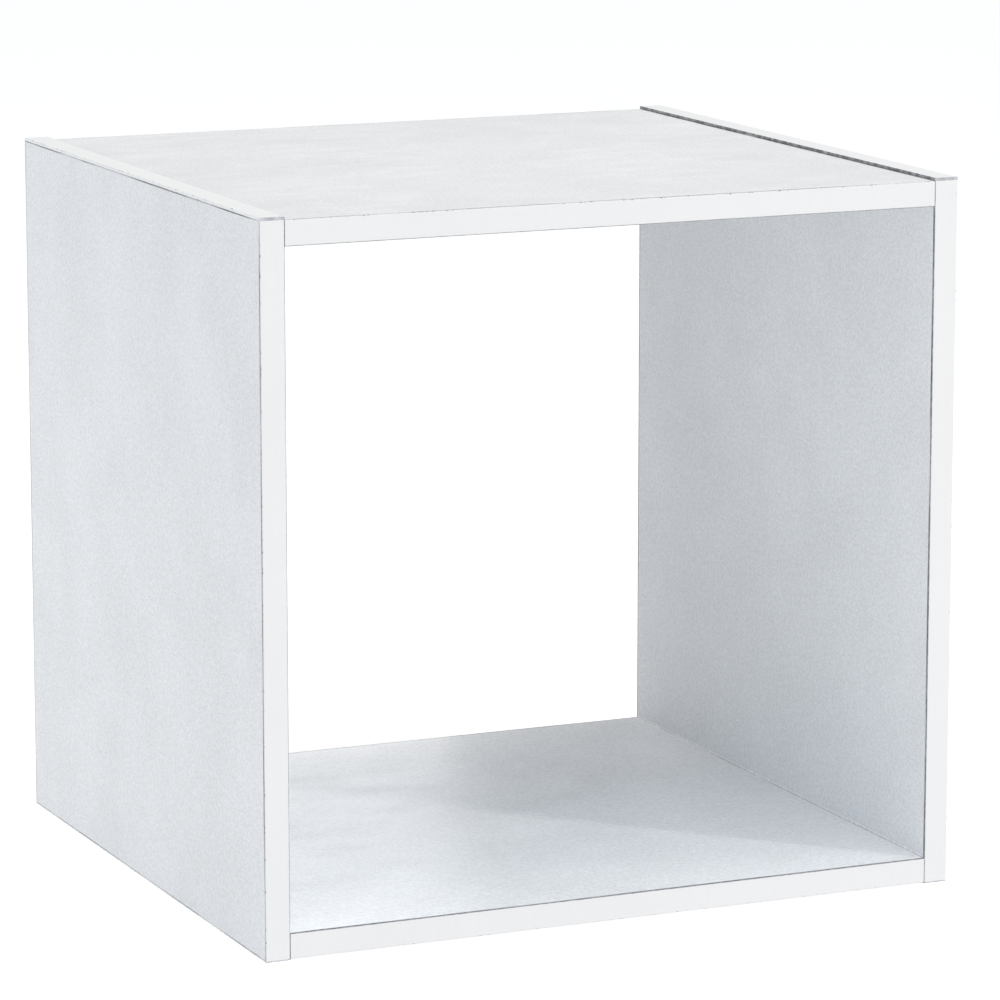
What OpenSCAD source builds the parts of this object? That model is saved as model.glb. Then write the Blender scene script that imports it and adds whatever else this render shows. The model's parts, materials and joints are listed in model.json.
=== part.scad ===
// Open cube storage unit. Two full-height side panels hold a top and a bottom panel
// between them. Every panel is chipboard with a melamine face on both sides and edge
// bands on the edges that show. Each corner is joined by two cam locks, their cam
// bolts and two glued dowels; the cams sit in the undersides of the top and bottom.
// Origin: centre of the footprint, on the floor. +Z up, open front towards -Y.

/* [Cabinet] */
// Overall width across both side panels
unit_w = 350; // [280:1:420]
// Overall height, the length of the side panels
unit_h = 340; // [280:1:420]
// Depth from the front edges to the back edges
unit_d = 320; // [240:1:400]

/* [Boards] */
// Finished thickness of every panel
board_t = 12; // [12:0.5:16]
// Thickness of the melamine face on each side of a panel
face_t = 0.3; // [0.2:0.1:0.5]
// Thickness of the edge bands on the front and back edges
band_t = 0.8; // [0.4:0.1:1.2]
// Thickness of the strip along a side panel's top end, which stands above the top panel
cap_t = 1.5; // [0.5:0.1:3]
// Thickness of the strip under a side panel's lower end, which lifts the bottom panel
foot_t = 0.5; // [0.4:0.1:3]

/* [Fittings] */
// Distance from a cam lock's axis to the front or back edge
cam_setback = 37; // [30:1:50]
// Distance from a cam lock's axis to the end of its panel
cam_reach = 24; // [24:1:34]
// Diameter of the cam locks
cam_d = 14.84; // [14.8:0.02:14.9]
// Distance from a dowel's axis to the front or back edge
dowel_setback = 69; // [62:1:100]
// Diameter of the dowels
dowel_d = 6; // [5:0.5:6]
// Length of the dowels
dowel_l = 25; // [20:1:30]

/* [Hidden] */
// Panels
joint_x = unit_w / 2 - board_t;    // inner face of a side panel, where the panels meet
core_y = unit_d / 2 - band_t;      // half depth of the chipboard between its bands
core_t = board_t - 2 * face_t;
side_h = unit_h - cap_t - foot_t;  // height of a side panel between its end strips
top_z = unit_h - cap_t - board_t / 2;
bottom_z = foot_t + board_t / 2;

// Cam lock: origin on the cam's axis at the height of its bolt, bolt towards +X
cam_bore_d = 15;
cam_inset = 0.1;                   // drive face below the panel's surface
cam_deep = 3.6;                    // deep end above the bolt's axis
cam_bore_deep = cam_deep + 0.1;
grip_r = 5.1;                      // radius of the grip chamber
grip_shift = 0.5;                  // its offset from the cam's axis, which does the pulling
grip_floor = -3.65;
slot_h = 4.8;                      // height of the slot for the bolt's neck
slot_start = -35;
entry_angle = 190;                 // way in for the bolt's head, and the cam's travel
entry_d = 7.4;
drive_w = 1.2;
drive_l = 6.4;
drive_deep = 1.8;

// Cam bolt, along +X from the cam's axis
head_start = 0.8;
head_end = 3.9;
head_r = 3.4;
neck_r = 2.2;
neck_end = 8.2;
shank_r = 2.8;
collar_l = 4;
thread_r = 2.45;
thread_root_r = 1.9;
thread_l = 9;
thread_pitch = 1.5;
thread_turns = 5;
bolt_bore_d = 7.2;
thread_bore_d = 5;
thread_bore_deep = 9.5;

// Dowel: its origin is where the panels meet
dowel_in_side = 8;
dowel_chamfer = 0.8;
dowel_clear = 0.5;                 // glue space past the dowel's end in the horizontal panel
dowel_play = 0.03;                 // less than the bore, all round

eps = 0.01;
$fn = 64;

// The eight fittings: name, side (x), edge (y), level (z)
FITTINGS = [for (z = [1, -1], x = [-1, 1], y = [-1, 1])
    [str(z > 0 ? "top" : "bottom", x < 0 ? "_left" : "_right", y < 0 ? "_front" : "_back"),
     x, y, z > 0 ? top_z : bottom_z]];
SIDES = [["left", -1], ["right", 1]];
LEVELS = [["top", top_z], ["bottom", bottom_z]];

// A box between two corners
module span(low, high) translate(low) cube(high - low);

// Turns a child that points along +X towards the side panel of a fitting
module toward_side(x) rotate([0, 0, x < 0 ? 180 : 0]) children();

module at_cam(f) translate([f[1] * (joint_x - cam_reach), f[2] * (unit_d / 2 - cam_setback), f[3]])
    toward_side(f[1]) children();

module at_dowel(f) translate([f[1] * joint_x, f[2] * (unit_d / 2 - dowel_setback), f[3]])
    toward_side(f[1]) children();

module along_x(d, l) rotate([0, 90, 0]) cylinder(d = d, h = l);

// Holes -----------------------------------------------------------------------

module cam_bore() translate([0, 0, -board_t / 2 - eps])
    cylinder(d = cam_bore_d, h = board_t / 2 + cam_bore_deep + eps);

// Everything drilled in a top or bottom panel for one corner fitting
module panel_holes(f) {
    at_cam(f) {
        cam_bore();
        along_x(bolt_bore_d, cam_reach + eps);
    }
    at_dowel(f) translate([-(dowel_l - dowel_in_side + dowel_clear), 0, 0])
        along_x(dowel_d, dowel_l - dowel_in_side + dowel_clear + eps);
}

// Everything drilled in a side panel for one corner fitting
module side_holes(f) {
    at_cam(f) along_x(thread_bore_d, cam_reach + thread_bore_deep);
    at_dowel(f) translate([-eps, 0, 0]) along_x(dowel_d, dowel_in_side + eps);
}

// Side panels -----------------------------------------------------------------

// A layer of a side panel between two depths measured in from its outer face
module side_layer(x, from, to) {
    a = x * (unit_w / 2 - from);
    b = x * (unit_w / 2 - to);
    span([min(a, b), -core_y, foot_t], [max(a, b), core_y, unit_h - cap_t]);
}

module side_core(x) color("burlywood") difference() {
    side_layer(x, face_t, board_t - face_t);
    for (f = FITTINGS) if (f[1] == x) side_holes(f);
}

module side_outer_face(x) color([0.86, 0.87, 0.89]) side_layer(x, 0, face_t);

module side_inner_face(x) color([0.86, 0.87, 0.89]) difference() {
    side_layer(x, board_t - face_t, board_t);
    for (f = FITTINGS) if (f[1] == x) side_holes(f);
}

module side_edge_band(x, y) color([0.93, 0.93, 0.93])
    translate([x * (unit_w / 2 - board_t / 2), y * (unit_d / 2 - band_t / 2),
               foot_t + side_h / 2])
        cube([board_t, band_t, side_h], center = true);

// The strip on an end of a side panel, over the ends of its front and back bands
module side_end_band(x, low, thick) color([0.93, 0.93, 0.93])
    translate([x * (unit_w / 2 - board_t / 2), 0, low + thick / 2])
        cube([board_t, unit_d, thick], center = true);

// Top and bottom panels -------------------------------------------------------

// A layer of a horizontal panel between two heights measured from its middle
module panel_layer(z, from, to)
    span([-joint_x, -core_y, z + from], [joint_x, core_y, z + to]);

module panel_core(z) color("burlywood") difference() {
    panel_layer(z, -core_t / 2, core_t / 2);
    for (f = FITTINGS) if (f[3] == z) panel_holes(f);
}

module panel_upper_face(z) color([0.93, 0.93, 0.93]) panel_layer(z, core_t / 2, board_t / 2);

module panel_lower_face(z) color([0.93, 0.93, 0.93]) difference() {
    panel_layer(z, -board_t / 2, -core_t / 2);
    for (f = FITTINGS) if (f[3] == z) at_cam(f) cam_bore();
}

module panel_edge_band(z, y) color([0.93, 0.93, 0.93])
    translate([0, y * (unit_d / 2 - band_t / 2), z])
        cube([2 * joint_x, band_t, board_t], center = true);

// Fittings --------------------------------------------------------------------

// Cam lock in its locked position. The chamber round the bolt's head is set off
// centre, so its wall draws the head in as the cam turns from the entry hole.
module cam_lock() color("silver") difference() {
    translate([0, 0, -board_t / 2 + cam_inset])
        cylinder(d = cam_d, h = board_t / 2 - cam_inset + cam_deep, $fn = 96);
    rotate([0, 0, entry_angle]) {
        translate([grip_shift, 0, grip_floor]) cylinder(r = grip_r, h = cam_deep - grip_floor + 1);
        along_x(entry_d, cam_d);
        // arrow on the drive face, which points at the entry hole
        translate([4.2, 0, -board_t / 2]) linear_extrude(0.5, convexity = 2)
            polygon([[0, -1.5], [2.4, 0], [0, 1.5]]);
    }
    rotate([0, 0, slot_start]) rotate_extrude(angle = entry_angle + 10 - slot_start)
        translate([grip_r - 2, -slot_h / 2]) square([cam_d, slot_h]);
    for (a = [0, 90]) rotate([0, 0, a])
        translate([-drive_l / 2, -drive_w / 2, -board_t / 2]) cube([drive_l, drive_w, drive_deep]);
}

// Cam bolt: head in the cam, collar against the side panel, ridged thread beyond it
module cam_bolt() color("silver") difference() {
    rotate([0, 90, 0]) rotate_extrude() polygon(concat(
        [[0, head_start], [head_r - 0.8, head_start], [head_r, head_start + 0.6],
         [head_r, head_end - 1.3], [neck_r, head_end], [neck_r, neck_end],
         [shank_r, neck_end], [shank_r, cam_reach - collar_l],
         [head_r, cam_reach - collar_l], [head_r, cam_reach], [thread_root_r, cam_reach]],
        [for (i = [0:thread_turns - 1], p = [[thread_root_r, 0.2], [thread_r, 0.65],
                                             [thread_r, 0.85], [thread_root_r, 1.3]])
            [p[0], cam_reach + i * thread_pitch + p[1]]],
        [[thread_root_r, cam_reach + thread_l - 1], [thread_root_r - 1, cam_reach + thread_l],
         [0, cam_reach + thread_l]]));
    for (a = [0, 90]) rotate([a, 0, 0])
        translate([head_start - eps, -2, -0.5]) cube([1.2, 4, 1]);
}

// Dowel with chamfered ends, seated on the end of its hole in the side panel
module dowel() {
    r = dowel_d / 2 - dowel_play;
    color("tan") translate([dowel_in_side - dowel_l, 0, 0]) rotate([0, 90, 0])
        rotate_extrude() polygon([
            [0, 0], [r - dowel_chamfer, 0], [r, dowel_chamfer], [r, dowel_l - dowel_chamfer],
            [r - dowel_chamfer, dowel_l], [0, dowel_l]]);
}

// Assembly --------------------------------------------------------------------

for (s = SIDES) {
    panel = str(s[0], "_side_");
    x = s[1];
    side_core(x);
    side_outer_face(x);
    side_inner_face(x);
    side_edge_band(x, -1);
    side_edge_band(x, 1);
    side_end_band(x, unit_h - cap_t, cap_t);
    side_end_band(x, 0, foot_t);
}

for (l = LEVELS) {
    panel = str(l[0], "_panel_");
    z = l[1];
    panel_core(z);
    panel_upper_face(z);
    panel_lower_face(z);
    panel_edge_band(z, -1);
    panel_edge_band(z, 1);
}

for (f = FITTINGS) {
    at_cam(f) cam_lock();
    at_cam(f) cam_bolt();
    at_dowel(f) dowel();
}
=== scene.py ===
import json
import math
import random

import bmesh
import bpy
from mathutils import Matrix, Vector

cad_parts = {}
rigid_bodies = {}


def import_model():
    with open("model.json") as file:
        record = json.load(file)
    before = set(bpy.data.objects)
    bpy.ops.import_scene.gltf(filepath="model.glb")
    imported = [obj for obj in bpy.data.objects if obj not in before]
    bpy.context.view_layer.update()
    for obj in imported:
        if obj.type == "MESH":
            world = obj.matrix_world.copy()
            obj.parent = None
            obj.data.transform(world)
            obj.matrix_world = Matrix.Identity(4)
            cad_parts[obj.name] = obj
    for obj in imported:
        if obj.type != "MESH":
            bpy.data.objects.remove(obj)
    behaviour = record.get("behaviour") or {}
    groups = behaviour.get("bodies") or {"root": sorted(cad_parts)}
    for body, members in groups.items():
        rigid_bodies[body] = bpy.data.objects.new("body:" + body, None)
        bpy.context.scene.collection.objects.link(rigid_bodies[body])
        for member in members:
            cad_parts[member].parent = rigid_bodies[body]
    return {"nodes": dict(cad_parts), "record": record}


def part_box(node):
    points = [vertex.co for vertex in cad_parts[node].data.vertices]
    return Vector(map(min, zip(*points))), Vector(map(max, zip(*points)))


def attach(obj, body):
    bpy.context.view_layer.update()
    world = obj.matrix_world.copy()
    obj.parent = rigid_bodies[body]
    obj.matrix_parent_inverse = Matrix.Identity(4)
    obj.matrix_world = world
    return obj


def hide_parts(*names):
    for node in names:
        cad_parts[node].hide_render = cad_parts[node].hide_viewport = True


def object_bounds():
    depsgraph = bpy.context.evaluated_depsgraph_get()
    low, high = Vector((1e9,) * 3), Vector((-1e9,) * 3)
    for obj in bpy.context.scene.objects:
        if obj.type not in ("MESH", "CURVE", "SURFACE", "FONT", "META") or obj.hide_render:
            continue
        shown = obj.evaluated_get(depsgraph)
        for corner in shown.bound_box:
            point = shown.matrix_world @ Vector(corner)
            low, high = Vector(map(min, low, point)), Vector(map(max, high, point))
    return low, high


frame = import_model()
CAD_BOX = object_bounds()

bl_info = {
    "name": "Cube Storage Unit",
    "version": (1, 0, 0),
    "blender": (4, 5, 0),
    "location": "3D View > Sidebar > Cube",
    "description": "Finishes an open melamine cube: faces, edge bands, cores and fittings",
    "category": "Object",
}

# ---------------------------------------------------------------- what the frame says

BODY_OF = {
    node: body
    for body, nodes in frame["record"]["behaviour"]["bodies"].items()
    for node in nodes
}
SLOT_OF = {s["node"]: s["material_slot"] for s in frame["record"]["subparts"]}
MM = 0.001
CENTRE = (CAD_BOX[0] + CAD_BOX[1]) / 2
BAY_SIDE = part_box("right_side_inner_face")[0].x
BAY_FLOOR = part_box("bottom_panel_upper_face")[1].z


def nodes_named(*words):
    """Every CAD node whose name holds all the words, in order of name."""
    return sorted(n for n in frame["nodes"] if all(w in n for w in words))


FACES = nodes_named("_face")
BANDS = nodes_named("_band")
CORES = nodes_named("_core")
CAMS = nodes_named("cam_lock_")
BOLTS = nodes_named("cam_bolt_")
DOWELS = nodes_named("dowel_")


# ---------------------------------------------------------------- settings


def length(name, description, default):
    return bpy.props.FloatProperty(
        name=name, description=description, default=default, min=0.0, precision=5,
        unit="LENGTH",
    )


def colour(name, description, default):
    return bpy.props.FloatVectorProperty(
        name=name, description=description, default=default, size=4, min=0.0, max=1.0,
        subtype="COLOR",
    )


class CubeSizes(bpy.types.PropertyGroup):
    """Small sizes that the CAD model leaves square."""

    face_arris: length("Face arris", "Bevel round each melamine face", 0.08 * MM)
    band_arris: length("Band arris", "Radius on the long edges of each edge band", 0.38 * MM)
    band_waver: length("Band waver", "How far a trimmed band strays along its length", 0.05 * MM)
    band_step: length("Band step", "Spacing of the sections along an edge band", 4 * MM)
    butt_gap: length("Butt gap", "Gap where a panel's end meets a side panel", 0.04 * MM)
    chip_size: length("Chip size", "Radius of the largest chip knocked out of an arris", 0.6 * MM)
    chips: bpy.props.IntProperty(
        name="Chips", description="Number of chips along each edge band", default=150, min=0
    )
    bore_flare: length("Bore flare", "Chamfer round the mouth of a cam's bore", 0.25 * MM)
    cam_arris: length("Cam arris", "Bevel on the edges of a cam lock", 0.1 * MM)
    flute_depth: length("Flute depth", "Depth of the flutes along a dowel", 0.25 * MM)
    flutes: bpy.props.IntProperty(
        name="Flutes", description="Number of flutes round a dowel", default=18, min=6
    )


class CubeFinishes(bpy.types.PropertyGroup):
    """Colours of the cube's materials."""

    melamine: colour("Melamine", "White of the faces", (0.752, 0.768, 0.786, 1))
    band: colour("Edge band", "White of the edge bands", (0.712, 0.70, 0.688, 1))
    # painted light: the cap and foot strips are the same band material, given a lighter white
    # than the other bands
    cap: colour("Cap strip", "White of the strips over and under the sides",
                (0.87, 0.882, 0.89, 1))
    # this white also paints the highlight along the bay's two lower corners
    speck_and_highlight: colour("Speck", "Bright specks on the faces", (1.0, 1.0, 1.0, 1))
    # this dark also paints shade on the bands' narrow sides and cut ends, besides colouring the
    # real chips
    raw_and_shade: colour("Raw edge", "Trimmed sides of the bands and the chips in them",
                (0.135, 0.145, 0.16, 1))
    glue: colour("Glue line", "Fine line where a band meets a face", (0.06, 0.06, 0.07, 1))
    chip_light: colour("Light chips", "Palest wood chips of the core", (0.66, 0.50, 0.31, 1))
    chip_dark: colour("Dark chips", "Darkest wood chips of the core", (0.26, 0.15, 0.075, 1))
    zinc: colour("Cast zinc", "Body of the cam locks", (0.56, 0.57, 0.58, 1))
    plate: colour("Zinc plate", "Plating of the cam bolts", (0.72, 0.73, 0.74, 1))
    beech: colour("Beech", "Wood of the dowels", (0.68, 0.48, 0.29, 1))


class StudioSettings(bpy.types.PropertyGroup):
    """Camera and light."""

    azimuth: bpy.props.FloatProperty(
        name="Azimuth", description="Camera's turn round the cube from the front",
        default=math.radians(-23.95), subtype="ANGLE",
    )
    elevation: bpy.props.FloatProperty(
        name="Elevation", description="Camera's height above the horizon",
        default=math.radians(10.95), subtype="ANGLE",
    )
    distance: length("Distance", "From the camera to the point it aims at", 2.48)
    aim_forward: length("Aim forward", "How far in front of the middle it aims", 0.027)
    aim_height: length("Aim height", "Height of the point it aims at", 0.1763)
    lens: bpy.props.FloatProperty(
        name="Lens", description="Focal length in millimetres", default=184.84, min=1.0
    )
    sky_front: bpy.props.FloatProperty(
        name="Sky in front", description="Even light from the camera's side", default=1.13
    )
    sky_back: bpy.props.FloatProperty(
        name="Sky behind", description="Even light from behind the cube", default=0.2
    )
    key: bpy.props.FloatProperty(
        name="Key", description="Power of the key light, front right", default=10.5
    )
    overhead: bpy.props.FloatProperty(
        name="Overhead", description="Power of the large light above", default=23.3
    )
    sheen: bpy.props.FloatProperty(
        name="Sheen", description="Power of the card that shines along the bay's floor",
        default=4.0,
    )
    bay_fill: bpy.props.FloatProperty(
        name="Bay fill", description="Power of the soft light that lifts the bay's shade",
        default=35.0,
    )
    wall_fill: bpy.props.FloatProperty(
        name="Wall fill", description="Power of the soft light on the bay's right side",
        default=2.4,
    )
    side_card: bpy.props.FloatProperty(
        name="Side card", description="Power of the low light on the outer left face",
        default=0.8,
    )
    floor_glow: bpy.props.FloatProperty(
        name="Floor glow", description="Light given off by the pale floor, to keep it even",
        default=0.68,
    )


# ---------------------------------------------------------------- nodes as expressions


class Value:
    """A node socket that takes part in Python arithmetic."""

    def __init__(self, graph, socket):
        self.graph, self.socket = graph, socket

    def _math(self, operation, a, b=0.0):
        return self.graph.add("ShaderNodeMath", {"operation": operation}, {0: a, 1: b})

    def __add__(self, other):
        return self._math("ADD", self, other)

    def __sub__(self, other):
        return self._math("SUBTRACT", self, other)

    def __rsub__(self, other):
        return self._math("SUBTRACT", other, self)

    def __mul__(self, other):
        return self._math("MULTIPLY", self, other)

    def __truediv__(self, other):
        return self._math("DIVIDE", self, other)

    def __abs__(self):
        return self._math("ABSOLUTE", self)

    __radd__ = __add__
    __rmul__ = __mul__

    def out(self, name):
        """Another output of the same node."""
        return Value(self.graph, self.socket.node.outputs[name])

    def between(self, low, high):
        """0 below low, 1 above high, smooth between; high below low turns it round."""
        return self.graph.add(
            "ShaderNodeMapRange",
            {"interpolation_type": "SMOOTHSTEP"},
            {"Value": self, "From Min": low, "From Max": high},
        )


class Graph:
    """A node tree, and the one way in which its nodes are made."""

    def __init__(self, tree):
        self.tree = tree

    def add(self, kind, settings=None, inputs=None, output=0):
        node = self.tree.nodes.new(kind)
        for name, value in (settings or {}).items():
            setattr(node, name, value)
        for name, value in (inputs or {}).items():
            if isinstance(value, Value):
                self.tree.links.new(value.socket, node.inputs[name])
            else:
                node.inputs[name].default_value = value
        return Value(self, node.outputs[output]) if node.outputs else None

    def place(self):
        return self.add("ShaderNodeTexCoord", output="Object")

    def stretched(self, place, scale):
        return self.add("ShaderNodeMapping", None, {"Vector": place, "Scale": scale})

    def noise(self, place, size, detail=2.0, roughness=0.5):
        """Even noise from 0 to 1 whose blobs are about size metres across."""
        return self.add(
            "ShaderNodeTexNoise",
            None,
            {"Vector": place, "Scale": 1 / size, "Detail": detail, "Roughness": roughness},
        )

    def cells(self, place, size, feature="F1"):
        return self.add(
            "ShaderNodeTexVoronoi", {"feature": feature}, {"Vector": place, "Scale": 1 / size}
        )

    def mix(self, factor, a, b):
        """Colour a where factor is 0, b where it is 1."""
        return self.add(
            "ShaderNodeMix", {"data_type": "RGBA"}, {0: factor, 6: a, 7: b}, output=2
        )

    def attribute(self, name):
        return self.add("ShaderNodeAttribute", {"attribute_name": name}, output="Fac")

    def bump(self, height, distance, strength):
        return self.add(
            "ShaderNodeBump",
            None,
            {"Height": height, "Distance": distance, "Strength": strength},
        )

    def surface(self, **inputs):
        names = {name.replace("_", " "): value for name, value in inputs.items()}
        shader = self.add("ShaderNodeBsdfPrincipled", None, names)
        self.add("ShaderNodeOutputMaterial", None, {"Surface": shader})


def tone(rgba, factor):
    """The same colour, lighter or darker."""
    return [min(1.0, c * factor) for c in rgba[:3]] + [1.0]


def new_finish(name):
    material = bpy.data.materials.new(name)
    material.use_nodes = True
    material.node_tree.nodes.clear()
    return material, Graph(material.node_tree)


# ---------------------------------------------------------------- finishes

# how large the marks of each finish are
PAPER_GRAIN, PEARL, WIPE = 1.2 * MM, 2.4 * MM, 34 * MM
CLOUD = 60 * MM
SPECK_SPACING, SPECK_RADIUS, SPECK_SHARE = 6 * MM, 0.34 * MM, 0.12
# painted highlight: white dots in runs, and a white band fading out of the bay's two lower
# corners, lifting their shade
HIGHLIGHT_DOT_SPACING, HIGHLIGHT_DOT_RADIUS, HIGHLIGHT_DOT_SHARE = 2.6 * MM, 1.1 * MM, 0.75
HIGHLIGHT_RUN = 45 * MM
CORNER_HIGHLIGHT, CORNER_HIGHLIGHT_FADE = 0.9 * MM, 1.5 * MM
GLUE_RAGGED, GLUE_RUN = 9 * MM, 55 * MM
FACE_GLUE, BAND_GLUE = 0.7 * MM, 0.55 * MM
BAND_GRAIN, BAND_DRAWN, BAND_DASH = 0.7 * MM, 0.9 * MM, 4 * MM
WOOD_CHIP, CHIP_SWIRL, CHIP_PUSH, SAWDUST = 2.1 * MM, 5 * MM, 3 * MM, 0.35 * MM
CAST_GRAIN, CAST_STAIN = 0.22 * MM, 3 * MM
LATHE_RING, PLATE_HAZE = 0.16 * MM, 2.2 * MM
BEECH_GRAIN, BEECH_FLECK = 0.5 * MM, 0.35 * MM


def glue_line(g, place, reach):
    """1 on the fine, uneven line where a band and a face meet, fading over reach."""
    uneven = g.noise(place, GLUE_RAGGED, 3.0, 0.7)
    patchy = g.noise(place, GLUE_RUN, 2.0)
    width = uneven * reach + reach * 0.35
    near = 1 - (g.attribute("seam_distance") / width).between(0.35, 1.0)
    return near * patchy.between(0.28, 0.62)


def specks(g, place, spacing, radius, share):
    """1 on small dots, in a share of the cells that the spacing makes."""
    cell = g.cells(place, spacing)
    chosen = g.add("ShaderNodeSeparateColor", None, {"Color": cell.out("Color")})
    size = chosen.out("Green") * radius / spacing + radius / spacing * 0.4
    return (1 - (cell / size).between(0.55, 1.0)) * chosen.between(1.0 - share, 1.02 - share)


def bay_corner_highlight(g, place):
    """1 in the bay's two lower corners, on the floor and on the sides, fading away from them,
    where a painted highlight goes.
    """
    parts = g.add("ShaderNodeSeparateXYZ", None, {"Vector": place})
    height = parts.out("Z") - BAY_FLOOR
    from_corner = BAY_SIDE - abs(parts) + height
    beside_wall = (BAY_SIDE - abs(parts)).between(-0.6 * MM, -0.3 * MM)
    above_floor = height.between(-0.8 * MM, -0.3 * MM)
    return (1 - from_corner.between(CORNER_HIGHLIGHT, CORNER_HIGHLIGHT_FADE)) * (beside_wall * above_floor)


def melamine_finish(white, glue, speck_and_highlight):
    """Satin white paper face with a fine pearl mottle and faint handling marks."""
    material, g = new_finish("white_melamine")
    place = g.place()
    fine = g.noise(place, PAPER_GRAIN, 2.0, 0.7)
    pearl = g.noise(place, PEARL, 3.0, 0.7)
    cloud = g.noise(place, CLOUD, 4.0, 0.6)
    grain = (pearl * 0.4 + fine * 0.6).between(0.36, 0.64)
    mottle = grain * 0.75 + cloud.between(0.3, 0.7) * 0.25
    base = g.mix(mottle, tone(white, 0.865), tone(white, 1.09))
    dots = specks(g, place, SPECK_SPACING, SPECK_RADIUS, SPECK_SHARE) * 0.6
    highlight_runs = g.noise(place, HIGHLIGHT_RUN).between(0.3, 0.5)
    highlight_dots = specks(g, place, HIGHLIGHT_DOT_SPACING, HIGHLIGHT_DOT_RADIUS, HIGHLIGHT_DOT_SHARE) * highlight_runs
    base = g.mix(dots, base, speck_and_highlight)
    # painted highlight: a dotted white line along the bay's lower corners, lifting the shade
    # there
    base = g.mix(bay_corner_highlight(g, place) * (highlight_dots * 0.65 + 0.35), base, speck_and_highlight)
    wiped = g.noise(g.stretched(place, (1, 3.2, 1)), WIPE, 4.0, 0.6)
    g.surface(
        Base_Color=g.mix(glue_line(g, place, FACE_GLUE) * 0.85, base, glue),
        Roughness=0.36 + fine * 0.1 + wiped.between(0.42, 0.7) * 0.09,
        Specular_IOR_Level=0.45,
        Normal=g.bump(pearl * 0.5 + fine * 0.5, 0.06 * MM, 0.7),
    )
    return material


def band_finish(white, cap, glue, raw_and_shade):
    """Smoother, slightly brighter strip with faint marks along its length."""
    material, g = new_finish("white_edge_band")
    place = g.place()
    fine = g.noise(place, BAND_GRAIN, 2.0, 0.6)
    drawn = g.noise(g.stretched(place, (1, 1, 0.08)), BAND_DRAWN, 2.0)
    cloud = g.noise(place, CLOUD, 2.0)
    shade = (drawn * 0.4 + fine * 0.2 + cloud * 0.4).between(0.3, 0.7)
    on_cap = g.attribute("cap_strip")
    # painted light: the cap strips take the lighter cap white instead of the band white
    base = g.mix(on_cap, g.mix(shade, tone(white, 0.985), tone(white, 1.01)), cap)
    # painted shade on the bands' narrow sides and cut ends, mixed with the dark of the real chips
    dashes = g.noise(place, BAND_DASH, 2.0, 0.7).between(0.35, 0.6)
    base = g.mix(g.attribute("raw_cut") * (dashes * 0.3 + 0.7), base, raw_and_shade)
    g.surface(
        Base_Color=g.mix(glue_line(g, place, BAND_GLUE) * (0.8 - on_cap * 0.6), base, glue),
        Roughness=0.27 + drawn * 0.08 + fine * 0.05,
        Specular_IOR_Level=0.5,
        Normal=g.bump(drawn * 0.5 + fine * 0.5, 0.025 * MM, 0.5),
    )
    return material


def chipboard_finish(light, dark):
    """Pressed wood chips of mixed browns, with fines between them."""
    material, g = new_finish("chipboard")
    place = g.place()
    swirl = g.noise(place, CHIP_SWIRL, 2.0).out("Color")
    pushed = g.add(
        "ShaderNodeVectorMath",
        {"operation": "MULTIPLY_ADD"},
        {0: swirl, 1: (CHIP_PUSH,) * 3, 2: g.stretched(place, (1, 1, 2.4))},
    )
    chips = g.cells(pushed, WOOD_CHIP)
    edges = g.cells(pushed, WOOD_CHIP, "DISTANCE_TO_EDGE")
    sawdust = g.noise(place, SAWDUST, 3.0, 0.7)
    which = g.add("ShaderNodeSeparateColor", None, {"Color": chips.out("Color")})
    base = g.mix((which * 0.75 + sawdust * 0.35).between(0.15, 0.95), light, dark)
    gap = 1 - edges.between(0.0, 0.09)
    g.surface(
        Base_Color=g.mix(gap * 0.55, base, tone(dark, 0.55)),
        Roughness=0.86 + sawdust * 0.1,
        Specular_IOR_Level=0.25,
        Normal=g.bump(edges.between(0.0, 0.3) + sawdust * 0.4, 0.16 * MM, 0.8),
    )
    return material


def cast_finish(metal):
    """Dull die-cast zinc: grainy, with darker marks in the pores."""
    material, g = new_finish("cast_zinc")
    place = g.place()
    grain = g.noise(place, CAST_GRAIN, 3.0, 0.7)
    stain = g.noise(place, CAST_STAIN, 3.0, 0.6)
    base = g.mix(grain.between(0.35, 0.65), tone(metal, 0.8), tone(metal, 1.08))
    g.surface(
        Base_Color=g.mix(stain.between(0.52, 0.75) * 0.35, base, tone(metal, 0.6)),
        Metallic=1.0,
        Roughness=0.34 + grain * 0.16 + stain * 0.1,
        Normal=g.bump(grain, 0.03 * MM, 0.7),
    )
    return material


def plate_finish(metal):
    """Bright zinc plate on turned steel, with fine rings from the lathe."""
    material, g = new_finish("zinc_plate")
    place = g.place()
    rings = g.noise(g.stretched(place, (1, 0.02, 0.02)), LATHE_RING, 2.0)
    haze = g.noise(place, PLATE_HAZE, 3.0, 0.6)
    g.surface(
        Base_Color=g.mix(haze.between(0.4, 0.7) * 0.5, metal, tone(metal, 0.8)),
        Metallic=1.0,
        Roughness=0.2 + rings * 0.08 + haze * 0.12,
        Normal=g.bump(rings, 0.012 * MM, 0.6),
    )
    return material


def beech_finish(wood):
    """Pale beech with its short dark flecks along the grain."""
    material, g = new_finish("beech")
    place = g.place()
    grain = g.noise(g.stretched(place, (0.07, 1, 1)), BEECH_GRAIN, 3.0, 0.6)
    flecks = g.noise(g.stretched(place, (0.22, 1, 1)), BEECH_FLECK, 1.0).between(0.62, 0.7)
    base = g.mix(grain.between(0.3, 0.7), tone(wood, 0.86), tone(wood, 1.1))
    g.surface(
        Base_Color=g.mix(flecks * 0.6, base, tone(wood, 0.5)),
        Roughness=0.62 + grain * 0.15,
        Specular_IOR_Level=0.3,
        Normal=g.bump(grain + flecks * -0.4, 0.05 * MM, 0.6),
    )
    return material


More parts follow.
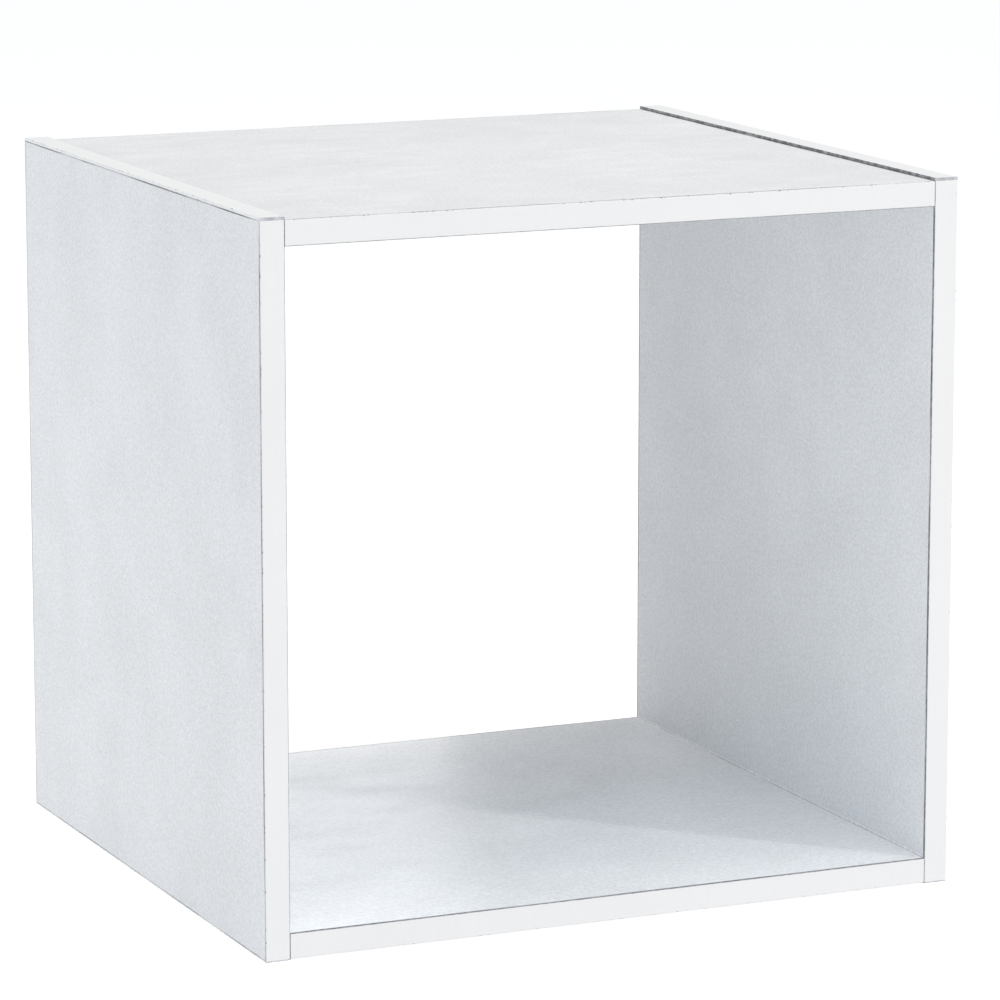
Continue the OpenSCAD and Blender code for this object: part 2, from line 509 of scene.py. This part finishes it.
FINISHES = {
    "melamine": lambda c: melamine_finish(c.melamine, c.glue, c.speck_and_highlight),
    "edge_band": lambda c: band_finish(c.band, c.cap, c.glue, c.raw_and_shade),
    "chipboard": lambda c: chipboard_finish(c.chip_light, c.chip_dark),
    "cam_metal": lambda c: cast_finish(c.zinc),
    "bolt_metal": lambda c: plate_finish(c.plate),
    "dowel_wood": lambda c: beech_finish(c.beech),
}
made_finishes = {}


def finish_for(slot):
    """The material of a record slot, made the first time that it is asked for."""
    if slot not in made_finishes:
        made_finishes[slot] = FINISHES[slot](bpy.context.scene.cube_finishes)
    return made_finishes[slot]


# ---------------------------------------------------------------- making pieces

# edges sharper than this stay crisp on flat pieces that have been cut into, in degrees
CUT_EDGE = 2


def link(name, mesh):
    piece = bpy.data.objects.new(name, mesh)
    bpy.context.scene.collection.objects.link(piece)
    return piece


def settled(piece):
    """A plain mesh of what an object's modifiers make; the object is removed."""
    depsgraph = bpy.context.evaluated_depsgraph_get()
    mesh = bpy.data.meshes.new_from_object(piece.evaluated_get(depsgraph))
    bpy.data.objects.remove(piece)
    return mesh


def add_piece(node, name, mesh):
    """Puts a finished mesh in the model in place of a CAD node."""
    if not mesh.polygons:
        raise RuntimeError(name + " came out empty")
    mesh.name = name
    mesh.materials.clear()
    mesh.materials.append(finish_for(SLOT_OF[node]))
    mesh.update()
    piece = link(name, mesh)
    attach(piece, BODY_OF[node])
    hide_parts(node)
    return piece


def dress(node):
    """Keeps a CAD node's own shape and gives it its finish."""
    materials = frame["nodes"][node].data.materials
    materials.clear()
    materials.append(finish_for(SLOT_OF[node]))


def from_bmesh(bm, name):
    mesh = bpy.data.meshes.new(name)
    bm.to_mesh(mesh)
    bm.free()
    return mesh


def bevel(piece, width, angle=30):
    modifier = piece.modifiers.new("arris", "BEVEL")
    modifier.width, modifier.segments = width, 2
    modifier.limit_method, modifier.angle_limit = "ANGLE", math.radians(angle)
    modifier.use_clamp_overlap = True


def store(mesh, name, values):
    mesh.attributes.new(name, "FLOAT", "POINT").data.foreach_set("value", values)


def shade_by_angle(mesh, angle=35):
    """Smooth shading, with edges sharper than the angle kept crisp."""
    mesh.shade_smooth()
    bm = bmesh.new()
    bm.from_mesh(mesh)
    for edge in bm.edges:
        edge.smooth = len(edge.link_faces) == 2 and edge.calc_face_angle(0) < math.radians(angle)
    bm.to_mesh(mesh)
    bm.free()


# ---------------------------------------------------------------- melamine faces

FACE_BORDER = 1.4 * MM
BORE_RADIUS = 7.5 * MM
DRILL_REACH = 2 * MM
DRILL_STEPS = 72
SAME_HEIGHT = 1 * MM


def bore_cutter(centre, flare, seed):
    """A drill for a cam's bore: a cylinder whose mouth breaks out unevenly."""
    rng = random.Random(seed)
    wander = [rng.uniform(0.3, 1.0) ** 2 for _ in range(DRILL_STEPS)]
    bm = bmesh.new()
    rings = []
    for depth, spread in (
        (-DRILL_REACH, 1.0), (0.0, 1.0), (flare * 0.8, 0.0), (DRILL_REACH, 0.0)
    ):
        ring = []
        for i in range(DRILL_STEPS):
            r = BORE_RADIUS + spread * flare * (0.35 + wander[i])
            a = math.tau * i / DRILL_STEPS
            ring.append(bm.verts.new(centre + Vector((r * math.cos(a), r * math.sin(a), depth))))
        rings.append(ring)
    for low, high in zip(rings, rings[1:]):
        for i in range(DRILL_STEPS):
            j = (i + 1) % DRILL_STEPS
            bm.faces.new((low[i], low[j], high[j], high[i]))
    bm.faces.new(list(reversed(rings[0])))
    bm.faces.new(rings[-1])
    return from_bmesh(bm, "bore_cutter")


def face_mesh(node, sizes):
    """A melamine face: a sheet with softened edges and a fine border round it."""
    low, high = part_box(node)
    centre, size = (low + high) / 2, high - low
    thin = min(range(3), key=lambda i: size[i])
    if "panel" in node:
        size.x -= 2 * sizes.butt_gap
    bm = bmesh.new()
    block = Matrix.Translation(centre) @ Matrix.Diagonal((*size, 1.0))
    bmesh.ops.create_cube(bm, size=1.0, matrix=block)
    broad = [f for f in bm.faces if abs(f.normal[thin]) > 0.9]
    bmesh.ops.inset_individual(bm, faces=broad, thickness=FACE_BORDER)
    sheet = link(node + "_work", from_bmesh(bm, node))
    bevel(sheet, sizes.face_arris)
    if node.endswith("panel_lower_face"):
        for i, cam in enumerate(CAMS):
            cam_low, cam_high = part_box(cam)
            if low.z - SAME_HEIGHT < cam_low.z < high.z + SAME_HEIGHT:
                mouth = (cam_low + cam_high) / 2
                mouth.z = low.z
                drill = link("drill", bore_cutter(mouth, sizes.bore_flare, seed=i))
                cut = sheet.modifiers.new("bore", "BOOLEAN")
                cut.object, cut.solver = drill, "EXACT"
    mesh = settled(sheet)
    for drill in [o for o in bpy.data.objects if o.name.startswith("drill")]:
        bpy.data.objects.remove(drill)
    half = size / 2
    store(mesh, "seam_distance", [
        min(FACE_BORDER, half.y - abs(v.co.y - centre.y)) for v in mesh.vertices
    ])
    shade_by_angle(mesh, CUT_EDGE)
    return mesh


# ---------------------------------------------------------------- edge bands


def new_tree(name, inputs):
    """A geometry tree with named inputs: each is a name, a socket type and a default."""
    tree = bpy.data.node_groups.new(name, "GeometryNodeTree")
    tree.interface.new_socket("Geometry", in_out="OUTPUT", socket_type="NodeSocketGeometry")
    for label, kind, default in inputs:
        socket = tree.interface.new_socket(label, in_out="INPUT", socket_type=kind)
        if default is not None:
            socket.default_value = default
    g = Graph(tree)
    given = g.add("NodeGroupInput")
    return g, {label: given.out(label) for label, _, _ in inputs}


def close_tree(g, geometry, material):
    """Every tree ends the same way: instances made real, then the material."""
    real = g.add("GeometryNodeRealizeInstances", None, {"Geometry": geometry})
    shown = g.add("GeometryNodeSetMaterial", None, {"Geometry": real, "Material": material})
    g.add("NodeGroupOutput", None, {"Geometry": shown})
    return g.tree


def grown(tree, **values):
    """The mesh that a geometry tree makes from these inputs."""
    host = link(tree.name, bpy.data.meshes.new(tree.name))
    modifier = host.modifiers.new(tree.name, "NODES")
    modifier.node_group = tree
    for item in tree.interface.items_tree:
        key = item.name.replace(" ", "_").lower()
        if item.item_type == "SOCKET" and item.in_out == "INPUT" and key in values:
            modifier[item.identifier] = values[key]
    return settled(host)


FLOAT, INT = "NodeSocketFloat", "NodeSocketInt"
STRAY_LENGTH = 30 * MM
SEED_STRIDE = 7.3
MOST_ROUNDING = 0.48
ARRIS_CUTS = 3
# painted shade on a band's outer side and on its cut ends, and the dark of its real chips
OUTER_SIDE_SHADE = 0.35
END_TRIM = 0.7
CHIP_RAW = 0.8


def edge_band_tree():
    """A strip swept along Z: width along X, thickness along Y, every arris rounded."""
    g, given = new_tree("Edge band", [
        ("Length", FLOAT, 0.34),
        ("Width", FLOAT, 0.012),
        ("Thickness", FLOAT, 0.0008),
        ("Arris", FLOAT, 0.0003),
        ("Step", FLOAT, 0.004),
        ("Waver", FLOAT, 0.00005),
        ("Chips", INT, 16),
        ("Chip size", FLOAT, 0.0005),
        ("Inner side", FLOAT, 1.0),
        # Outer trim: how much painted shade the band's outer side gets
        ("Outer trim", FLOAT, OUTER_SIDE_SHADE),
        ("Seed", INT, 0),
        ("Material", "NodeSocketMaterial", None),
    ])
    half = given["Length"] / 2
    line = g.add("GeometryNodeCurvePrimitiveLine", None, {
        "Start": g.add("ShaderNodeCombineXYZ", None, {"Z": 0 - half}),
        "End": g.add("ShaderNodeCombineXYZ", None, {"Z": half}),
    })
    line = g.add("GeometryNodeResampleCurve", {"mode": "LENGTH"},
                 {"Curve": line, "Length": given["Step"]})
    outline = g.add("GeometryNodeCurvePrimitiveQuadrilateral", {"mode": "RECTANGLE"},
                    {"Width": given["Width"], "Height": given["Thickness"]})
    radius = g.add("ShaderNodeMath", {"operation": "MINIMUM"}, {
        0: given["Arris"], 1: given["Thickness"] * MOST_ROUNDING})
    outline = g.add("GeometryNodeFilletCurve", {"mode": "POLY"}, {
        "Curve": outline, "Count": ARRIS_CUTS, "Radius": radius, "Limit Radius": True})
    strip = g.add("GeometryNodeCurveToMesh", None, {
        "Curve": line, "Profile Curve": outline, "Fill Caps": True})
    place = g.add("GeometryNodeInputPosition")
    parts = g.add("ShaderNodeSeparateXYZ", None, {"Vector": place})
    stray = g.add("ShaderNodeTexNoise", {"noise_dimensions": "1D"}, {
        "W": parts.out("Z") / STRAY_LENGTH + given["Seed"] * SEED_STRIDE,
        "Scale": 1.0, "Detail": 2.0})
    inward = (abs(parts) / given["Width"] * 2).between(0.8, 0.95)
    side = g.add("ShaderNodeMath", {"operation": "SIGN"}, {0: parts})
    shift = side * inward * stray * given["Waver"] * -1
    strip = g.add("GeometryNodeSetPosition", None, {
        "Geometry": strip,
        "Offset": g.add("ShaderNodeCombineXYZ", None, {"X": shift}),
    })
    facing = g.add("ShaderNodeSeparateXYZ", None, {"Vector": g.add("GeometryNodeInputNormal")})
    inward_face = facing * given["Inner side"]
    # painted shade: fully on the band's side towards the cube's middle, in part on its outer
    # side, and on its cut ends
    shaded_sides = inward_face.between(0.15, 0.3) + inward_face.between(-0.5, -0.7) * given[
        "Outer trim"]
    strip = g.add("GeometryNodeStoreNamedAttribute", {"data_type": "FLOAT", "domain": "FACE"}, {
        "Geometry": strip, "Name": "raw_cut",
        "Value": shaded_sides + abs(facing.out("Z")).between(0.8, 0.9) * END_TRIM})

    # chips knocked out of the arrises: small stones sunk into them at random
    throw = g.add("FunctionNodeRandomValue", {"data_type": "FLOAT_VECTOR"}, {
        "Min": (-1, -1, -0.49), "Max": (1, 1, 0.49), "Seed": given["Seed"]})
    toss = g.add("ShaderNodeSeparateXYZ", None, {"Vector": throw})
    signs = [g.add("ShaderNodeMath", {"operation": "SIGN"}, {0: way})
             for way in (toss, toss.out("Y") + 0.4)]
    spots = g.add("GeometryNodePoints", None, {
        "Count": given["Chips"],
        "Position": g.add("ShaderNodeCombineXYZ", None, {
            "X": signs[0] * given["Width"] / 2, "Y": signs[1] * given["Thickness"] / 2,
            "Z": toss.out("Z") * given["Length"]}),
    })
    spread = g.add("FunctionNodeRandomValue", {"data_type": "FLOAT_VECTOR"}, {
        "Min": (0.25, 0.25, 0.3), "Max": (0.8, 0.8, 1.9), "Seed": given["Seed"] + 1})
    stones = g.add("GeometryNodeInstanceOnPoints", None, {
        "Points": spots,
        "Instance": g.add("GeometryNodeMeshIcoSphere", None, {"Radius": 1.0, "Subdivisions": 2}),
        "Rotation": g.add("FunctionNodeRandomValue", {"data_type": "FLOAT_VECTOR"}, {
            "Min": (-0.5, -0.5, -0.5), "Max": (0.5, 0.5, 0.5), "Seed": given["Seed"] + 2}),
        "Scale": g.add("ShaderNodeVectorMath", {"operation": "SCALE"}, {
            0: spread, "Scale": given["Chip size"]}),
    })
    stones = g.add("GeometryNodeStoreNamedAttribute", {"data_type": "FLOAT", "domain": "FACE"}, {
        "Geometry": g.add("GeometryNodeRealizeInstances", None, {"Geometry": stones}),
        "Name": "raw_cut", "Value": CHIP_RAW})
    strip = g.add("GeometryNodeMeshBoolean", {"operation": "DIFFERENCE", "solver": "MANIFOLD"}, {
        "Mesh 1": strip, "Mesh 2": stones})
    seam = g.add("GeometryNodeStoreNamedAttribute", {"data_type": "FLOAT", "domain": "POINT"}, {
        "Geometry": strip, "Name": "seam_distance",
        "Value": parts.out("Y") + given["Thickness"] / 2})
    return close_tree(g, seam, given["Material"])


def band_mesh(node, sizes, tree, seed):
    """An edge band in its place, its glued side against the board."""
    low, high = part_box(node)
    centre, size = (low + high) / 2, high - low
    cap_strip = "cap" in node or "foot" in node
    if "panel" in node:
        size.x -= 2 * sizes.butt_gap
    along = max(range(3), key=lambda i: size[i])
    thin = min(range(3), key=lambda i: size[i])
    outward = Vector((0, 0, 0))
    outward[thin] = math.copysign(1, centre[thin] - CENTRE[thin])
    length_way = Vector((0, 0, 0))
    length_way[along] = 1
    width_way = outward.cross(length_way)
    turn = Matrix((width_way, outward, length_way)).transposed().to_4x4()
    mesh = grown(
        tree, length=size[along], width=sorted(size)[1], thickness=size[thin],
        arris=sizes.band_arris, step=sizes.band_step, waver=sizes.band_waver,
        chips=sizes.chips, chip_size=sizes.chip_size, seed=10 * seed,
        inner_side=math.copysign(1, (CENTRE - centre).dot(width_way)),
        # no painted shade on the outer side of a cap or foot strip
        outer_trim=0.0 if cap_strip else OUTER_SIDE_SHADE,
        material=finish_for("edge_band"),
    )
    mesh.transform(Matrix.Translation(centre) @ turn)
    store(mesh, "cap_strip", [float(cap_strip)] * len(mesh.vertices))
    shade_by_angle(mesh, CUT_EDGE)
    return mesh


# ---------------------------------------------------------------- fittings

WELD = 0.002 * MM
FLAT = math.radians(0.5)
SHARP_CAM_EDGE = 40
DOWEL_SIDES, DOWEL_RINGS = 144, 31


def cam_mesh(node, sizes):
    """A cam lock from its CAD solid, with its cast edges softened."""
    bm = bmesh.new()
    bm.from_mesh(frame["nodes"][node].data)
    bmesh.ops.remove_doubles(bm, verts=bm.verts, dist=WELD)
    bmesh.ops.dissolve_limit(bm, angle_limit=FLAT, verts=bm.verts, edges=bm.edges)
    work = link(node + "_work", from_bmesh(bm, node))
    bevel(work, sizes.cam_arris, SHARP_CAM_EDGE)
    mesh = settled(work)
    shade_by_angle(mesh, SHARP_CAM_EDGE)
    return mesh


def dowel_tree():
    """A fluted dowel along Z with chamfered ends."""
    g, given = new_tree("Fluted dowel", [
        ("Length", FLOAT, 0.025),
        ("Radius", FLOAT, 0.003),
        ("Flutes", INT, 18),
        ("Flute depth", FLOAT, 0.00025),
        ("Chamfer", FLOAT, 0.0008),
        ("Material", "NodeSocketMaterial", None),
    ])
    stick = g.add("GeometryNodeMeshCylinder", {"fill_type": "NGON"}, {
        "Vertices": DOWEL_SIDES, "Side Segments": DOWEL_RINGS, "Radius": 1.0,
        "Depth": given["Length"]})
    parts = g.add("ShaderNodeSeparateXYZ", None, {"Vector": g.add("GeometryNodeInputPosition")})
    angle = g.add("ShaderNodeMath", {"operation": "ARCTAN2"}, {0: parts.out("Y"), 1: parts})
    wave = g.add("ShaderNodeMath", {"operation": "COSINE"}, {0: angle * given["Flutes"]})
    groove = wave.between(0.0, 1.0) * given["Flute depth"]
    end = (given["Length"] / 2 - abs(parts.out("Z"))) / given["Chamfer"]
    slope = (1 - g.add("ShaderNodeClamp", None, {"Value": end})) * given["Chamfer"]
    reach = given["Radius"] - g.add("ShaderNodeMath", {"operation": "MAXIMUM"},
                                    {0: groove, 1: slope})
    stick = g.add("GeometryNodeSetPosition", None, {
        "Geometry": stick,
        "Position": g.add("ShaderNodeCombineXYZ", None, {
            "X": parts * reach, "Y": parts.out("Y") * reach, "Z": parts.out("Z")}),
    })
    return close_tree(g, stick, given["Material"])


# ---------------------------------------------------------------- operators


class MakeFaces(bpy.types.Operator):
    """Make the eight melamine faces"""

    bl_idname = "cube.make_faces"
    bl_label = "Melamine faces"

    def execute(self, context):
        for node in FACES:
            add_piece(node, node + "_sheet", face_mesh(node, context.scene.cube_sizes))
        return {"FINISHED"}


class MakeBands(bpy.types.Operator):
    """Make the twelve edge bands"""

    bl_idname = "cube.make_bands"
    bl_label = "Edge bands"

    def execute(self, context):
        tree = edge_band_tree()
        for seed, node in enumerate(BANDS):
            mesh = band_mesh(node, context.scene.cube_sizes, tree, seed)
            add_piece(node, node + "_strip", mesh)
        return {"FINISHED"}


class DressCores(bpy.types.Operator):
    """Give the chipboard cores their finish"""

    bl_idname = "cube.dress_cores"
    bl_label = "Chipboard cores"

    def execute(self, context):
        for node in CORES:
            dress(node)
        return {"FINISHED"}


class MakeCams(bpy.types.Operator):
    """Make the eight cam locks"""

    bl_idname = "cube.make_cams"
    bl_label = "Cam locks"

    def execute(self, context):
        for node in CAMS:
            add_piece(node, node + "_cast", cam_mesh(node, context.scene.cube_sizes))
        return {"FINISHED"}


class DressBolts(bpy.types.Operator):
    """Give the cam bolts their finish"""

    bl_idname = "cube.dress_bolts"
    bl_label = "Cam bolts"

    def execute(self, context):
        for node in BOLTS:
            dress(node)
        return {"FINISHED"}


class MakeDowels(bpy.types.Operator):
    """Make the eight fluted dowels"""

    bl_idname = "cube.make_dowels"
    bl_label = "Dowels"

    def execute(self, context):
        sizes, tree = context.scene.cube_sizes, dowel_tree()
        for node in DOWELS:
            low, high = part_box(node)
            mesh = grown(
                tree, length=high.x - low.x, radius=(high.z - low.z) / 2, flutes=sizes.flutes,
                flute_depth=sizes.flute_depth, material=finish_for("dowel_wood"),
            )
            mesh.transform(
                Matrix.Translation((low + high) / 2) @ Matrix.Rotation(math.pi / 2, 4, "Y")
            )
            shade_by_angle(mesh)
            add_piece(node, node + "_fluted", mesh)
        return {"FINISHED"}


# ---------------------------------------------------------------- studio

# where each light stands, what it points at and how wide it is, in metres
KEY_LIGHT = ((1.34, -1.44, 1.55), CENTRE, 0.1)
OVERHEAD_LIGHT = ((-0.1, 0.15, 2.2), CENTRE, 1.8)
SHEEN_CARD = ((-0.465, 0.3, 0.3), (-0.465, 0, 0.3), 1.16)
BAY_FILL = ((-0.5, -3.0, 1.2), CENTRE, 1.6)
WALL_FILL = ((-1.5, -1.1, 0.3), CENTRE, 0.6)
SIDE_CARD = ((-0.75, 0.45, 0.05), (-0.175, 0.1, 0.05), 0.5)
SHEEN_CARD_HEIGHT = 0.6
KEY_COLOUR, OVERHEAD_COLOUR = (1.0, 0.98, 0.95), (1.0, 0.91, 0.81)
AIR_COLOUR = (0.93, 0.985, 1.05, 1)
LEFT_DIMMING = 0.25
FLOOR_GREY = (0.45, 0.45, 0.45, 1)
FLOOR_REACH = 30
SENSOR_WIDTH = 36


def area_light(name, place, aim, size, power):
    data = bpy.data.lights.new(name, "AREA")
    data.shape, data.size, data.energy = "DISK", size, power
    lamp = link(name, data)
    lamp.location = place
    lamp.rotation_euler = (Vector(aim) - Vector(place)).to_track_quat("-Z", "Y").to_euler()
    return lamp


def light_only(lamp, piece):
    """Makes a light fall on one piece and on nothing else."""
    lit = bpy.data.collections.new(lamp.name + "_receivers")
    lit.objects.link(bpy.data.objects[piece])
    lamp.light_linking.receiver_collection = lit


def matt_fill(name, setting, power, piece):
    """A soft light on one piece that doesn't show in its gloss."""
    lamp = area_light(name, *setting, power)
    lamp.visible_glossy = lamp.visible_camera = False
    light_only(lamp, piece)


def hang_lights(studio):
    key = area_light("key_light", *KEY_LIGHT, studio.key)
    key.data.color = KEY_COLOUR
    high = area_light("overhead_light", *OVERHEAD_LIGHT, studio.overhead)
    high.data.color = OVERHEAD_COLOUR
    card = area_light("sheen_card", *SHEEN_CARD, studio.sheen)
    card.data.shape, card.data.size_y = "RECTANGLE", SHEEN_CARD_HEIGHT
    card.visible_diffuse = card.visible_camera = False
    light_only(card, "bottom_panel_upper_face_sheet")
    matt_fill("bay_fill", BAY_FILL, studio.bay_fill, "bottom_panel_upper_face_sheet")
    matt_fill("wall_fill", WALL_FILL, studio.wall_fill, "right_side_inner_face_sheet")
    matt_fill("side_card", SIDE_CARD, studio.side_card, "left_side_outer_face_sheet")


def fill_with_air(scene, studio):
    """Even light all round, stronger in front and a little weaker on the left."""
    scene.world = bpy.data.worlds.new("studio_air")
    scene.world.use_nodes = True
    scene.world.node_tree.nodes.clear()
    g = Graph(scene.world.node_tree)
    way = g.add("ShaderNodeSeparateXYZ", None, {
        "Vector": g.add("ShaderNodeTexCoord", output="Generated")})
    behind = way.out("Y").between(-0.5, 0.7)
    dimmer = 1 - way.between(-0.2, -0.95) * LEFT_DIMMING
    sky = behind * (studio.sky_back - studio.sky_front) + studio.sky_front
    air = g.add("ShaderNodeBackground", None, {"Color": AIR_COLOUR, "Strength": sky * dimmer})
    g.add("ShaderNodeOutputWorld", None, {"Surface": air})


def set_camera(scene, studio):
    turn = Matrix.Rotation(studio.azimuth, 3, "Z") @ Matrix.Rotation(-studio.elevation, 3, "X")
    aim = Vector((0, -studio.aim_forward, studio.aim_height))
    lens = bpy.data.cameras.new("camera")
    lens.lens, lens.sensor_width = studio.lens, SENSOR_WIDTH
    camera = link("camera", lens)
    camera.location = aim + turn @ Vector((0, -studio.distance, 0))
    camera.rotation_euler = (turn @ Matrix.Rotation(math.pi / 2, 3, "X")).to_euler()
    scene.camera = camera


def floor_finish(glow):
    """White floor that glows a little, so the cube's shadow on it stays faint."""
    material, g = new_finish("pale_floor")
    g.surface(
        Base_Color=FLOOR_GREY,
        Roughness=0.8,
        Specular_IOR_Level=0.2,
        Emission_Color=(1, 1, 1, 1),
        Emission_Strength=glow,
    )
    return material


class MakeStage(bpy.types.Operator):
    """Make the floor, the lights and the camera"""

    bl_idname = "cube.make_stage"
    bl_label = "Studio"

    def execute(self, context):
        scene, studio = context.scene, context.scene.cube_studio
        set_camera(scene, studio)
        bm = bmesh.new()
        bmesh.ops.create_grid(bm, x_segments=24, y_segments=24, size=FLOOR_REACH)
        floor = link("floor", from_bmesh(bm, "floor"))
        floor.data.materials.append(floor_finish(studio.floor_glow))
        hang_lights(studio)
        fill_with_air(scene, studio)
        scene.view_settings.view_transform = "Standard"
        return {"FINISHED"}


# ---------------------------------------------------------------- the add-on


class CubePanel(bpy.types.Panel):
    """Lists the steps in the order in which they are run"""

    bl_idname = "VIEW3D_PT_cube"
    bl_label = "Cube storage unit"
    bl_space_type = "VIEW_3D"
    bl_region_type = "UI"
    bl_category = "Cube"

    def draw(self, context):
        for step in STEPS:
            self.layout.operator(step.bl_idname)


STEPS = (MakeFaces, MakeBands, DressCores, MakeCams, DressBolts, MakeDowels, MakeStage)
GROUPS = {"cube_sizes": CubeSizes, "cube_finishes": CubeFinishes, "cube_studio": StudioSettings}


def register():
    for made in (*GROUPS.values(), *STEPS, CubePanel):
        bpy.utils.register_class(made)
    for name, group in GROUPS.items():
        setattr(bpy.types.Scene, name, bpy.props.PointerProperty(type=group))


def unregister():
    for name in GROUPS:
        delattr(bpy.types.Scene, name)
    for made in reversed((*GROUPS.values(), *STEPS, CubePanel)):
        bpy.utils.unregister_class(made)


def main():
    register()
    for step in STEPS:
        group, name = step.bl_idname.split(".")
        getattr(getattr(bpy.ops, group), name)()


if __name__ == "__main__":
    main()
